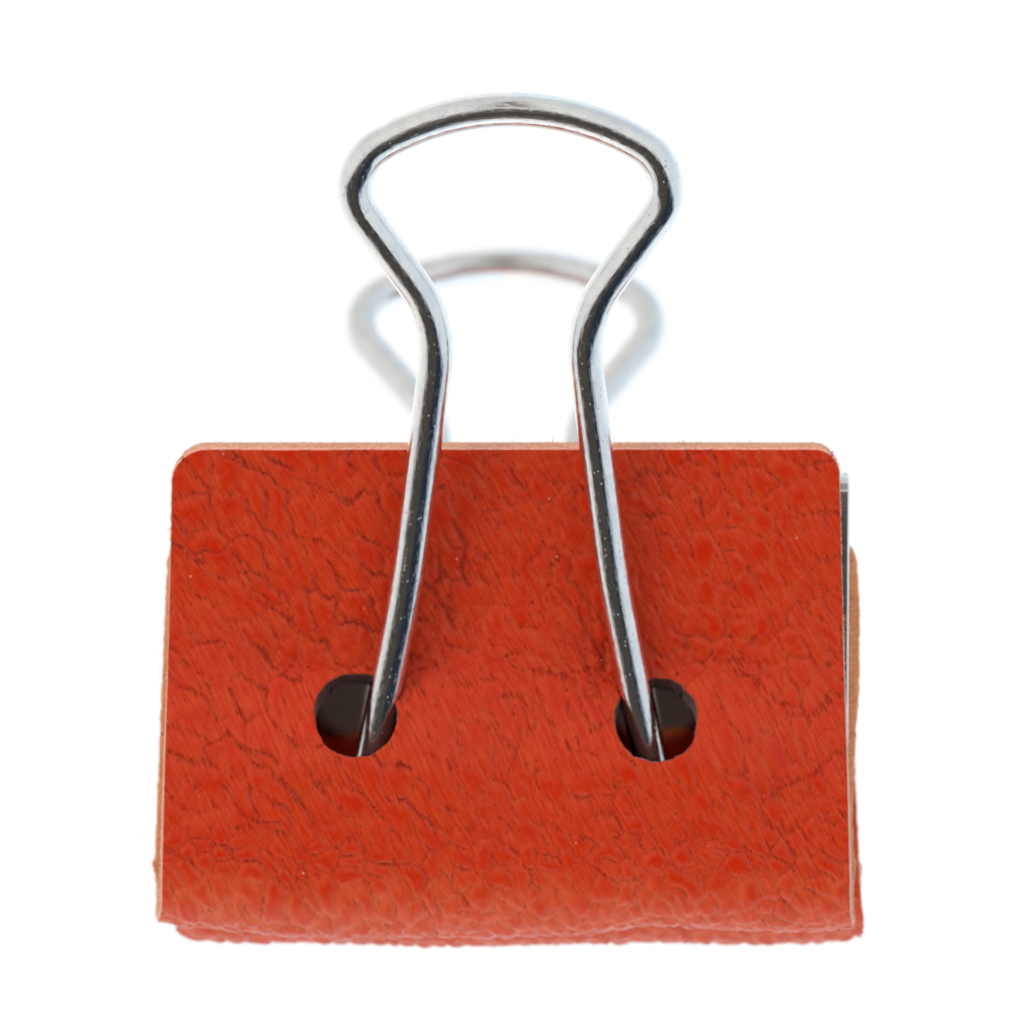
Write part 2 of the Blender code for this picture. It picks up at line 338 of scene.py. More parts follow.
def slab(outer, inner, keep, wall_shares, wall_shape):
    """A sheet between two grids of points, open where keep is False, closed all round by a wall.

    The wall has a row of points for each share of the way from outer to inner. wall_shape moves a row:
    it gets the points, the unit directions out of the sheet's edge and the share.
    """
    rows, cols = keep.shape
    count = (rows + 1) * (cols + 1)
    flat_outer, flat_inner = outer.reshape(-1, 3), inner.reshape(-1, 3)
    i, j = np.nonzero(keep)
    corner = i * (cols + 1) + j
    top = np.stack([corner, corner + 1, corner + cols + 2, corner + cols + 1], axis=1)
    rim = rim_loops(keep)
    used = np.unique(rim)
    away = np.zeros((count, 3))
    through = flat_outer - flat_inner
    along = flat_outer[rim[:, 1]] - flat_outer[rim[:, 0]]
    side = np.cross(along, through[rim[:, 0]])
    for end in (0, 1):
        np.add.at(away, rim[:, end], side)
    away = unit(away[used])
    # The kept cell beside the first border edge tells which way is out.
    first = rim[0]
    cell = top[np.isin(top, first).sum(axis=1) == 2][0]
    inward = flat_outer[cell].mean(axis=0) - flat_outer[first].mean(axis=0)
    if np.dot(away[np.searchsorted(used, first[0])], inward) > 0:
        away = -away
    rows_of_wall = []
    for share in wall_shares:
        row = mix(flat_outer[used], flat_inner[used], share)
        rows_of_wall.append(wall_shape(row, away, share))
    points = np.concatenate([flat_outer, flat_inner] + rows_of_wall)
    faces, kinds = [top, top[:, ::-1] + count], [np.zeros(len(top), int), np.full(len(top), 2)]
    place = np.searchsorted(used, rim)
    levels = [rim] + [2 * count + k * len(used) + place for k in range(len(wall_shares))] + [rim + count]
    for near, far in zip(levels[:-1], levels[1:]):
        faces.append(np.stack([near[:, 1], near[:, 0], far[:, 0], far[:, 1]], axis=1))
        kinds.append(np.ones(len(rim), int))
    depth = np.concatenate([np.zeros(count), np.ones(count)] + [np.full(len(used), t) for t in wall_shares])
    faces, kinds = np.concatenate(faces), np.concatenate(kinds)
    source = np.concatenate([np.arange(count), np.arange(count), np.tile(used, len(wall_shares))])
    return drop_loose(points, faces, kinds, depth, source)


def drop_loose(points, faces, kinds, depth, source):
    """The mesh without the points that no face uses. source is the grid point that each point came from."""
    wanted = np.unique(faces)
    moved = np.full(len(points), -1)
    moved[wanted] = np.arange(len(wanted))
    wall = {"points": points[wanted], "faces": moved[faces], "kinds": kinds}
    return {**wall, "depth": depth[wanted], "source": source[wanted]}


# Leather.


def flap_height(x, s):
    """Middle of the flap's leather above the leaf: it bulges over the wires and lies lower at the sides."""
    over_wire = 1 - 0.85 * smoothstep(9.2, 14.5, np.abs(x)) - 0.65 * bell(x, 0.0, 3.2)
    return mix(follow(s, FLAP_AT_SIDE), follow(s, FLAP_OVER_WIRE), over_wire)


def smooth_rows(values, passes):
    for _ in range(passes):
        inside = (values[:-2] + 2 * values[1:-1] + values[2:]) / 4
        values = np.concatenate([values[:1], inside, values[-1:]])
    return values


def round_corner(x, s, corner_x, corner_s, radius, hand):
    """Bends the square corner of a grid to a quarter circle. hand is the side of the corner in x."""
    centre_x, centre_s = corner_x - hand * radius, corner_s - radius
    dx, ds = (x - centre_x) * hand, s - centre_s
    inside = (dx > 0) & (ds > 0)
    square, radial = np.maximum(dx, ds), np.hypot(dx, ds)
    scale = np.where(inside, square / np.maximum(radial, 1e-9), 1.0)
    return np.where(inside, centre_x + hand * dx * scale, x), np.where(inside, centre_s + ds * scale, s)


def open_hole(x, s, keep, hole, step, seed):
    """Clears a square of cells and draws the grid round it into a slightly squashed circle."""
    row = int(np.argmin(np.abs(s[:, 0] - hole[1])))
    col = int(np.argmin(np.abs(x[row] - hole[0])))
    half = int(round(HOLE_RADIUS / step))
    keep[row - half : row + half, col - half : col + half] = False
    reach = half * step
    i, j = np.indices(x.shape)
    square = np.maximum(np.abs(i - row), np.abs(j - col)) * step
    dx, ds = x - x[row, col], s - s[row, col]
    radial = np.maximum(np.hypot(dx, ds), 1e-9)
    angle = np.arctan2(ds, dx)
    outline = 1 / np.hypot(np.cos(angle) / HOLE_SQUASH[0], np.sin(angle) / HOLE_SQUASH[1])
    ragged = 0.035 * noise(angle * 5, 0 * angle, seed) + 0.02 * noise(angle * 16, 0 * angle, seed + 1)
    ring = (HOLE_RADIUS * outline + ragged) * square / reach
    share = 1 - smoothstep(reach, 2.1 * reach, square)
    wanted = mix(radial, ring, share)
    return x + dx * (wanted / radial - 1), s + ds * (wanted / radial - 1)


def leg_at(s):
    """Distance of a handle's legs from the middle at a height above the tube axis."""
    neck = LOOP_HALF - CORNER_RADIUS * (1 - cos(SHOULDER_ANGLE))
    neck -= (LOOP_WIDEST - CORNER_RADIUS * sin(SHOULDER_ANGLE) - NECK_HEIGHT) * tan(SHOULDER_ANGLE)
    return np.interp(s, (0.0, LEG_BOW[1], NECK_HEIGHT), (LEG_FOOT, LEG_BOW[0], neck))


def pebbles(x, v, angle, along, across, seed, favoured, favour):
    """One kind of grain: domes, creases (deep near the favoured angle), bands along them, smooth middles."""
    a, b = turned(x, v, angle, along, across)
    border, normal, tone = cells(a, b, seed)
    run = np.degrees(np.arctan2(np.cos(normal) * across, -np.sin(normal) * along)) + angle
    lined = np.cos(np.radians(run - favoured)) ** 2
    dome = (1 - (1 - np.clip(border / 0.46, 0, 1)) ** 2) * (0.70 + 0.30 * tone)
    weight = mix(1 - favour, 1.0, lined)
    broken = smoothstep(-0.35, 0.75, noise_of(x, v, 0.55, seed + 3) + 0.6 * noise_of(x, v, 2.7, seed + 4))
    crease = bell(border, 0.0, 0.040) * weight * broken
    band = bell(border, 0.0, 0.17) * mix(1 - 0.6 * favour, 1.0, lined)
    smooth = smoothstep(0.02, 0.55, border + 0.08 * noise_of(x, v, 0.3, seed + 5))
    smooth = smooth * smoothstep(-1.3, 0.6, tone)
    return dome, crease, band, smooth


def long_creases(x, v, angle, length, spacing, width, seed):
    """Wandering lines of even width near one direction, broken here and there."""

    def field(x, v):
        a, b = turned(x, v, angle, length, spacing)
        return noise(a, b, seed) + 0.28 * noise(a * 3.1, b * 1.9, seed + 1)

    reach = 0.05
    here = field(x, v)
    slope = np.hypot(field(x + reach, v) - here, field(x, v + reach) - here) / reach
    a, b = turned(x, v, angle, length, spacing)
    broken = smoothstep(-0.50, 0.20, noise(a * 3.3, b * 1.4, seed + 2))
    return bell(here / np.maximum(slope, 0.12), 0.0, width) * broken


def grain(x, v, seed):
    """The grain side's relief in millimetres, and its layers: creases, bands, smooth tops, and the roll's
    share, where the colour is lighter from stretched grain and from painted sheen.
    """
    def wave(size, number):
        return noise_of(x, v, size, seed + number)

    wx = x + 0.42 * wave(2.3, 0) + 0.13 * wave(0.62, 1)
    wv = v + 0.42 * wave(2.3, 2) + 0.13 * wave(0.62, 3)
    left = smoothstep(3.0, -5.0, x + 2.2 * wave(4.0, 4))
    low = smoothstep(4.4, 0.8, v + 1.2 * wave(3.0, 5))
    # Share of the hide, depth of the creases, and the pebbles.
    kinds = (
        ((1 - left) * (1 - low), 0.75, pebbles(wx, wv, -62, 1.45, 0.95, seed + 20, -50, 0.7)),
        (left * (1 - low), 1.0, pebbles(wx, wv, -58, 2.1, 1.30, seed + 10, -37, 0.9)),
        (low, 0.8, pebbles(wx, wv, -52, 1.10, 0.82, seed + 30, -45, 0.5)),
    )
    dome, smooth = (sum(share * kind[k] for share, _, kind in kinds) for k in (0, 3))
    crease, band = (sum(share * deep * kind[k] for share, deep, kind in kinds) for k in (1, 2))
    fine_dome, fine_crease, fine_band, _ = pebbles(wx, wv, -60, 0.80, 0.45, seed + 40, -60, 0.6)
    long_left = long_creases(wx, wv, -38, 6.0, 1.9, 0.065, seed + 50) * left * (1 - 0.7 * low)
    long_right = long_creases(wx, wv, 16, 5.0, 2.2, 0.16, seed + 60) * (1 - left) * (1 - 0.8 * low)
    wrinkles = wire_wrinkles(x, v, seed)
    for more in (0.45 * long_left, 0.30 * fine_crease, wrinkles):
        crease = np.maximum(crease, more)
    band = np.clip(0.75 * band + long_right + 0.6 * long_left + 0.30 * fine_band, 0, 1)
    relief = (0.110 + 0.08 * low) * dome + 0.034 * fine_dome
    relief = relief - 0.06 * crease - 0.04 * long_right - 0.05 * long_left - 0.02 * band - 0.05 * wrinkles
    relief = relief + (0.07 * wave(3.4, 70) + 0.06 * wave(6.5, 71))
    # The roll at the bottom: its colour is made lighter there, partly stretched grain, partly painted sheen.
    stretch_and_sheen = smoothstep(1.0, -1.8, v + 0.6 * wave(1.1, 6))
    return relief, {"crease": np.clip(crease, 0, 1), "band": band, "smooth": smooth, "stretch_and_sheen": stretch_and_sheen}


def wire_wrinkles(x, v, seed):
    """Short steep wrinkles where the leather is pinched beside the legs, and above the holes; as creases they
    also carry painted crease shade into the colour.
    """
    inner_left = x + leg_at(v)
    inner_right = leg_at(v) - x
    tall = smoothstep(8.5, 10.5, v) * smoothstep(19.5, 15.0, v)
    short = smoothstep(8.0, 9.5, v) * smoothstep(15.5, 12.0, v)
    mask = bell(inner_left, 1.9, 1.5) * tall + 0.7 * bell(inner_right, 1.6, 1.0) * short
    mask = mask + 0.5 * bell(inner_right, -1.7, 0.9) * short
    mask = mask + 0.7 * (bell(x, -5.0, 1.4) + bell(x, 4.6, 1.3)) * bell(v, 8.6, 1.5)
    narrow = 0.75 * long_creases(x, v, -66, 1.6, 0.50, 0.07, seed + 84)
    return np.clip(mask, 0, 1) * np.maximum(long_creases(x, v, -63, 2.6, 0.80, 0.11, seed + 80), narrow)


def cover_grid(cover):
    """Grid of one cover's strip: x and s, v along the hide, the turn round the roll and the kept cells."""
    step = cover["step"]
    tongue = np.arange(TONGUE_TOP, 0.0, -TONGUE_STEP)
    turns = np.linspace(0.0, pi, int(round(pi * ROLL_RADIUS / step)) + 1)[:-1]
    flap = np.linspace(0.0, FLAP_TOP, int(round(FLAP_TOP / step)) + 1)
    s_row = np.concatenate([tongue, -ROLL_RADIUS * np.sin(turns), flap])
    v_row = np.concatenate([-pi * ROLL_RADIUS - tongue, (turns - pi) * ROLL_RADIUS, flap])
    part = np.repeat(["tongue", "roll", "flap"], [len(tongue), len(turns), len(flap)])[:, None]
    turn = np.concatenate([0 * tongue, turns, 0 * flap + pi])
    low, high = cover["fold_edges"], cover["top_edges"]
    heights, *tongue_edges = zip(*cover["tongue"])
    edges = []
    for hand in (0, 1):
        on_tongue = np.interp(s_row, heights, tongue_edges[hand])
        on_flap = np.interp(s_row, (0, FLAP_TOP), (low[hand], high[hand]))
        edges.append(mix(on_tongue, on_flap, np.sin(turn / 2)))
    cols = int(round((high[1] - high[0]) / step)) + 1
    share = np.linspace(0.0, 1.0, cols)
    x = mix(edges[0][:, None], edges[1][:, None], share)
    s = np.repeat(s_row[:, None], cols, axis=1)
    v = np.repeat(v_row[:, None], cols, axis=1)
    keep = np.ones((len(s_row) - 1, cols - 1), bool)
    on_flap, on_tongue = (part == "flap") & (s > 14), part == "tongue"
    for hand, edge in ((-1, 0), (1, -1)):
        radius = cover["corners"][edge]
        bent = round_corner(x, s, cover["top_edges"][edge], FLAP_TOP, radius, hand)
        x, s = np.where(on_flap, bent[0], x), np.where(on_flap, bent[1], s)
        bent = round_corner(x, s, tongue_edges[edge][-1], TONGUE_TOP, TONGUE_CORNER, hand)
        x, s = np.where(on_tongue, bent[0], x), np.where(on_tongue, bent[1], s)
    start = len(tongue) + len(turns)
    flap_x, flap_s, flap_keep = x[start:], s[start:], keep[start:]
    for number, hole in enumerate(cover["holes"]):
        flap_x, flap_s = open_hole(flap_x, flap_s, flap_keep, hole, step, cover["seed"] + 90 + number)
    x, s = np.concatenate([x[:start], flap_x]), np.concatenate([s[:start], flap_s])
    v = np.where(part == "flap", s, v)
    return {"x": x, "s": s, "v": v, "turn": turn, "part": part, "keep": keep, "flap_start": start}


def cover_middle(cover, grid):
    """Height of the strip's middle above the leaf, with the roll's sag worked in."""
    x, s, part, turn = grid["x"], grid["s"], grid["part"], grid["turn"][:, None]
    sag = smooth_rows(follow(x, cover["sag"]).T, SAG_PASSES).T
    h = TUBE_BORE - ROLL_RADIUS * np.where(part == "tongue", 1.0, np.cos(turn)) + 0 * x
    start = grid["flap_start"]
    lift = flap_height(x[start:], s[start:])
    lift = smooth_rows(lift, int(round(0.9 / cover["step"])) ** 2 // 4)
    seed = cover["seed"]
    wobble = 0.10 * noise_of(x[start:], s[start:], 7.0, seed + 72) * smoothstep(9.0, 13.0, s[start:])
    h[start:] = lift + np.abs(wobble)
    grid["s"], grid["h"] = np.where(part == "roll", s - sag * np.sin(turn) ** 2, s), h


def surface_normals(points):
    """Unit normals of a grid of points."""
    return unit(np.cross(np.gradient(points, axis=0), np.gradient(points, axis=1)))


def press(points, start, end, radius):
    """Pushes points that lie inside a round wire, from start to end, out to its surface."""
    line = end - start
    share = np.clip(((points - start) @ line) / (line @ line), 0, 1)
    away = points - (start + share[:, None] * line)
    distance = np.linalg.norm(away, axis=1)
    inside = distance < radius
    away[inside] *= (radius / np.maximum(distance[inside], 1e-6) - 1)[:, None]
    points[inside] += away[inside]
    return points


def press_wires(points):
    """The leather gives way where a leg of the handle passes."""
    legs = ((LEG_FOOT, 0.0), LEG_BOW, (leg_at(22.0), 22.0))
    for hand in (-1.0, 1.0):
        ends = [
            np.array([hand * across, up * cos(HANDLE_TILT), TUBE_BORE + up * sin(HANDLE_TILT)])
            for across, up in legs
        ]
        for low, high in zip(ends[:-1], ends[1:]):
            points = press(points, low, high, WIRE_RADIUS + WIRE_CLEARANCE)
    return points


def fuzz(rng, size):
    """Wall shape for a cut edge of leather: crisp at the grain, frayed towards the flesh."""

    def shape(row, away, share):
        bulge = 0.04 * np.sin(pi * min(share * 1.15, 1.0))
        frayed = size * smoothstep(0.12, 0.45, share) * rng.uniform(-0.4, 1.0, len(row))
        lengthwise = 0.25 * size * rng.standard_normal((len(row), 3)) * smoothstep(0.12, 0.45, share)
        return row + away * (bulge + frayed)[:, None] + lengthwise

    return shape


def tube_faces(rings, sides, first=0):
    """Faces of a closed tube whose rings of points are numbered in turn from the first."""
    faces = []
    for low in range(first, first + (rings - 1) * sides, sides):
        for m in range(sides):
            n = (m + 1) % sides
            faces.append([low + m, low + n, low + sides + n, low + sides + m])
    faces.append([first + m for m in reversed(range(sides))])
    faces.append([first + (rings - 1) * sides + m for m in range(sides)])
    return faces


def fibres(rng, roots, ways, tangle):
    """Loose fibres standing out of the cut edge, each a thin bent tapering tube."""
    sides, rings = 5, 6
    around = np.arange(sides) * 2 * pi / sides
    points, faces = [], []
    for root, way in zip(roots, ways):
        length = rng.uniform(0.10, 0.34) * (2.0 if tangle else 1.0)
        radius = rng.uniform(0.010, 0.022)
        lean = rng.standard_normal(3) * (0.9 if tangle else 0.5)
        curl = rng.standard_normal(3) * 0.7
        steps = np.linspace(0.0, 1.0, rings)[:, None]
        direction = unit(way + lean)
        line = root - 0.08 * way + direction * steps * length + curl * (steps * length) ** 2
        axis_a = unit(np.cross(direction, (0.31, 0.52, 0.79)))
        axis_b = np.cross(direction, axis_a)
        thick = radius * (1 - 0.75 * steps)
        ring = np.cos(around)[None, :, None] * axis_a + np.sin(around)[None, :, None] * axis_b
        faces += tube_faces(rings, sides, len(points) * rings * sides)
        points.append((line[:, None, :] + thick[:, :, None] * ring).reshape(-1, 3))
    return np.concatenate(points), faces


def cover_sides(cover, grid):
    """The strip's grain side and flesh side as grids of points, and the grain's layers."""
    x, s, v, part = grid["x"], grid["s"], grid["v"], grid["part"]
    middle = np.stack([x, s, grid["h"]], axis=-1)
    out = surface_normals(middle)
    if out[grid["flap_start"] + 5, 5, 2] < 0:
        out = -out
    relief, layers = grain(x, v, cover["seed"])
    # A mask near the holes: in the materials it paints red bounce light on the flesh, darker red-brown on the
    # cut walls and a leather reflection on the steel.
    layers["near_holes"] = 0 * x
    for hole_x, hole_s in cover["holes"]:
        reach = np.hypot(x - hole_x, s - hole_s)
        near = smoothstep(3.2, 2.4, reach) * (part == "flap")
        layers["near_holes"] = np.maximum(layers["near_holes"], near)
    relief = relief * (1 - 0.5 * smoothstep(0.5, 2.0, s) * (part == "tongue"))
    suede = 0.03 * noise_of(x, v, 0.25, cover["seed"] + 95)
    outer = middle + out * (LEATHER / 2 + relief)[..., None]
    inner = spread_flesh(grid, middle - out * (LEATHER / 2 - np.abs(suede))[..., None])
    over_leaf = (part == "flap") & (s > 6.0)
    inner[..., 2] = np.where(over_leaf, np.maximum(inner[..., 2], 0.03), inner[..., 2])
    return outer, inner, layers


def make_cover(cover, materials):
    """One cover as two pieces: the strip over the roll and the flap, and the tongue inside the jaw."""
    grid = cover_grid(cover)
    cover_middle(cover, grid)
    outer, inner, layers = cover_sides(cover, grid)
    x, s = grid["x"], grid["s"]
    past_tongue = 100 * (grid["part"][:, 0] != "tongue")
    cut = int(np.argmin(np.abs(s[:, s.shape[1] // 2] - TONGUE_CUT) + past_tongue))
    pieces = []
    for name, rows in (("cover", slice(cut, None)), ("tongue", slice(0, cut + 1))):
        keep = grid["keep"][cut:] if name == "cover" else grid["keep"][:cut]
        rng = np.random.default_rng(cover["seed"] + 500)
        wall = slab(outer[rows], inner[rows], keep, CUT_ROWS, fuzz(rng, FUZZ))
        points = press_wires(wall["points"])
        faces, kinds, source = wall["faces"].tolist(), wall["kinds"], wall["source"]
        hide = np.stack([x, grid["v"], 0 * x], axis=-1)[rows].reshape(-1, 3)[source]
        values = {key: layer[rows].reshape(-1)[source] for key, layer in layers.items()}
        values = {"depth": wall["depth"], **values}
        if name == "cover":
            loose, loose_faces = edge_fibres(cover, grid, outer, inner, rng)
            faces += [[len(points) + n for n in face] for face in loose_faces]
            kinds = np.concatenate([kinds, np.ones(len(loose_faces), int)])
            points = np.concatenate([points, loose])
            hide = np.concatenate([hide, loose])
            for key, layer in values.items():
                value = FIBRE_DEPTH if key == "depth" else 0.0
                values[key] = np.concatenate([layer, np.full(len(loose), value)])
        world = leaf_to_frame(points[:, 0], points[:, 1], points[:, 2], cover["name"])
        label = f"{cover['name']}_{name}_leather"
        pieces.append(make_object(label, world, faces, kinds, materials, {"hide": hide, **values}, None))
    return pieces


def spread_flesh(grid, inner):
    """The cut is not square: the flesh side reaches further than the grain at the sides and the top."""
    s, part = grid["s"], grid["part"]
    share = np.linspace(-1.0, 1.0, s.shape[1])
    sideways = 0.15 * smoothstep(13.0, 1.0, s) * np.sign(share) * smoothstep(0.9, 1.0, np.abs(share))
    inner[..., 0] += sideways * (part != "tongue")
    inner[..., 1] += 0.16 * smoothstep(19.0, FLAP_TOP, s) * (part == "flap")
    return inner


def edge_fibres(cover, grid, outer, inner, rng):
    """Loose fibres along the sides and the top, and one tuft on the front cover's side."""
    start = grid["flap_start"]
    rows = rng.integers(start - 30, outer.shape[0] - 20, FIBRES_AT_SIDES)
    hands = rng.integers(0, 2, FIBRES_AT_SIDES)
    roots, ways = [], []
    for row, hand in zip(rows, hands):
        col = 0 if hand == 0 else outer.shape[1] - 1
        roots.append(mix(outer[row, col], inner[row, col], rng.uniform(0.3, 1.0)))
        ways.append(np.array([2.0 * hand - 1.0, 0.0, 0.0]))
    for col in rng.integers(20, outer.shape[1] - 20, FIBRES_AT_TOP):
        roots.append(mix(outer[-1, col], inner[-1, col], rng.uniform(0.4, 1.0)))
        ways.append(np.array([0.0, 1.0, 0.0]))
    points, faces = fibres(rng, roots, ways, False)
    if cover["name"] == "front":
        tuft_rows = np.argmin(np.abs(grid["s"][start:, -1] - TUFT_HEIGHT)) + start
        tuft_rows = tuft_rows + rng.integers(-6, 7, FIBRES_IN_TUFT)
        roots = [mix(outer[row, -1], inner[row, -1], rng.uniform(0.4, 1.0)) for row in tuft_rows]
        ways = [np.array([0.5, 0.0, -0.9])] * len(roots)
        more, more_faces = fibres(rng, roots, ways, True)
        faces += [[len(points) + n for n in face] for face in more_faces]
        points = np.concatenate([points, more])
    return points, faces


# Steel and wire.


def arc(centre, radius, start, end, steps):
    turn = np.linspace(radians(start), radians(end), steps + 1)
    return np.stack([centre[0] + radius * np.cos(turn), centre[1] + radius * np.sin(turn)], axis=1)


def fillet(before, corner, after, radius, steps):
    """Arc that rounds the corner between two straight stretches."""
    before, corner, after = (np.array(p, float) for p in (before, corner, after))
    u, v = unit(before - corner), unit(after - corner)
    half = np.arccos(np.clip(u @ v, -1, 1)) / 2
    centre = corner + unit(u + v) * radius / np.sin(half)
    first = corner + u * radius / np.tan(half) - centre
    last = corner + v * radius / np.tan(half) - centre
    start, end = np.arctan2(first[1], first[0]), np.arctan2(last[1], last[0])
    turn = (end - start + pi) % (2 * pi) - pi
    return arc(centre, radius, np.degrees(start), np.degrees(start + turn), steps)


def make_half_body(side, material):
    """Half of the sprung sheet in one piece: half the spine, its fold, the leaf and the rolled tubes."""
    fold = FOLD_AXIS[1:3]
    plate = np.stack([np.linspace(0.0, fold[0], 14), np.full(14, fold[1] + FOLD_RADIUS)], axis=1)
    bend = arc(fold, FOLD_RADIUS, 90, 180 + np.degrees(LEAF_ANGLE), 14)
    tube = arc((TUBE_AXIS[1], TUBE_AXIS[2]), TUBE_MIDDLE, 18, 18 - np.degrees(TUBE_TURN), 44)
    leaf = np.linspace(bend[-1], tube[0], 30)
    path = np.concatenate([plate[:-1], bend[:-1], leaf[:-1], tube])
    half = BODY_WIDTH / 2 - EDGE_ROUND
    inner_cols = np.linspace(-NOTCH_HALF, NOTCH_HALF, 30)
    outer_cols = np.linspace(NOTCH_HALF, half, 16)[1:]
    across = np.concatenate([-outer_cols[::-1], inner_cols, outer_cols])
    step = unit(np.gradient(path, axis=0))
    out = np.stack([step[:, 1], -step[:, 0]], axis=1)
    if out[0, 1] < 0:
        out = -out
    rows, cols = len(path), len(across)
    outer, inner = (np.zeros((rows, cols, 3)) for _ in range(2))
    for grid, sign in ((outer, 1), (inner, -1)):
        grid[..., 0] = across
        grid[..., 1:] = (path + sign * out * SHEET / 2)[:, None, :]
    keep = np.ones((rows - 1, cols - 1), bool)
    first_tube_row = len(plate) + len(bend) + len(leaf) - 3
    middle = slice(len(outer_cols), len(outer_cols) + len(inner_cols) - 1)
    keep[first_tube_row:, middle] = False

    def rounded(row, away, share):
        return row + away * (EDGE_ROUND * np.sqrt(max(0.0, 1 - (2 * share - 1) ** 2)))

    wall = slab(outer, inner, keep, (0.0, 0.15, 0.5, 0.85, 1.0), rounded)
    points = wall["points"]
    points = points * (HANDS[side], HANDS[side], 1.0)
    kinds = np.zeros(len(wall["faces"]), int)
    row_number = np.arange(rows)[:, None] + 0 * across
    first_leaf_row = len(plate) + len(bend) - 2
    # Where the leather covers the leaf: the sheet's colour there holds painted shade and a painted reflection
    # of the leather.
    covered = smoothstep(first_leaf_row + 1, first_leaf_row + 3, row_number)
    covered = covered * smoothstep(half, half - 0.1, np.abs(across))
    near_holes = smoothstep(3.4, 2.8, np.abs(np.abs(across) - HOLE_ACROSS)) + 0 * covered
    layers = {"covered": covered, "near_holes": near_holes}
    layers = {key: layer.reshape(-1)[wall["source"]] for key, layer in layers.items()}
    return make_object(f"{side}_body_steel", points, wall["faces"].tolist(), kinds, [material], layers, 40)


def handle_path():
    """Centreline of a handle as (across, up) from the tube axis, in even steps."""
    corner = np.array([LOOP_HALF - CORNER_RADIUS, LOOP_WIDEST])
    rise = HANDLE_HEIGHT - corner[1]
    crown_radius = (corner[0] ** 2 + rise**2 - CORNER_RADIUS**2) / (2 * (rise - CORNER_RADIUS))
    crown = np.array([0.0, HANDLE_HEIGHT - crown_radius])
    meet = np.degrees(np.arctan2(corner[1] - crown[1], corner[0]))
    path = [arc(crown, crown_radius, 90, meet, 40)]
    path.append(arc(corner, CORNER_RADIUS, meet, -np.degrees(SHOULDER_ANGLE), 40)[1:])
    end = path[-1][-1]
    neck = (end[0] - (end[1] - NECK_HEIGHT) * tan(SHOULDER_ANGLE), NECK_HEIGHT)
    foot, tip = (LEG_FOOT, 0.0), (TIP_END, 0.0)
    path.append(fillet(end, neck, LEG_BOW, NECK_RADIUS, 30))
    path.append(fillet(neck, LEG_BOW, foot, LEG_BOW_RADIUS, 20))
    path.append(fillet(LEG_BOW, foot, tip, FOOT_RADIUS, 24))
    path.append(np.array([tip]))
    right = np.concatenate(path)
    whole = np.concatenate([right[:0:-1] * (-1, 1), right])
    run = np.concatenate([[0.0], np.cumsum(np.linalg.norm(np.diff(whole, axis=0), axis=1))])
    even = np.linspace(0.0, run[-1], int(run[-1] / WIRE_STEP) + 1)
    return np.stack([np.interp(even, run, whole[:, k]) for k in (0, 1)], axis=1), even


def make_handle(side, material, lean):
    """A handle as one round wire. lean is how far its loop stands off to the side and up, bent by hand."""
    path, run = handle_path()
    loose = smoothstep(LEG_BOW[1], HANDLE_HEIGHT, path[:, 1])
    path = path + loose[:, None] * np.array(lean)
    step = unit(np.gradient(path, axis=0))
    around = np.arange(WIRE_SIDES) * 2 * pi / WIRE_SIDES
    radius = np.full(len(path), WIRE_RADIUS)
    for end in (0, -1):
        radius[end] -= TIP_CHAMFER
    in_plane = np.stack([-step[:, 1], step[:, 0]], axis=1)
    flat = path[:, None, :] + radius[:, None, None] * np.cos(around)[None, :, None] * in_plane[:, None, :]
    off_plane = radius[:, None] * np.sin(around)[None, :]
    s = flat[..., 1] * cos(HANDLE_TILT) - off_plane * sin(HANDLE_TILT)
    h = TUBE_BORE + flat[..., 1] * sin(HANDLE_TILT) + off_plane * cos(HANDLE_TILT)
    points = leaf_to_frame(flat[..., 0], s, h, side).reshape(-1, 3)
    faces = tube_faces(len(path), WIRE_SIDES)
    draw = np.repeat(run, WIRE_SIDES)
    turn = np.tile(around, len(path))
    wrap = np.stack([draw, np.cos(turn) * WIRE_RADIUS, np.sin(turn) * WIRE_RADIUS], axis=1)
    kinds = np.zeros(len(faces), int)
    return make_object(f"{side}_handle_wire", points, faces, kinds, [material], {"draw": wrap}, 50)


# Materials.


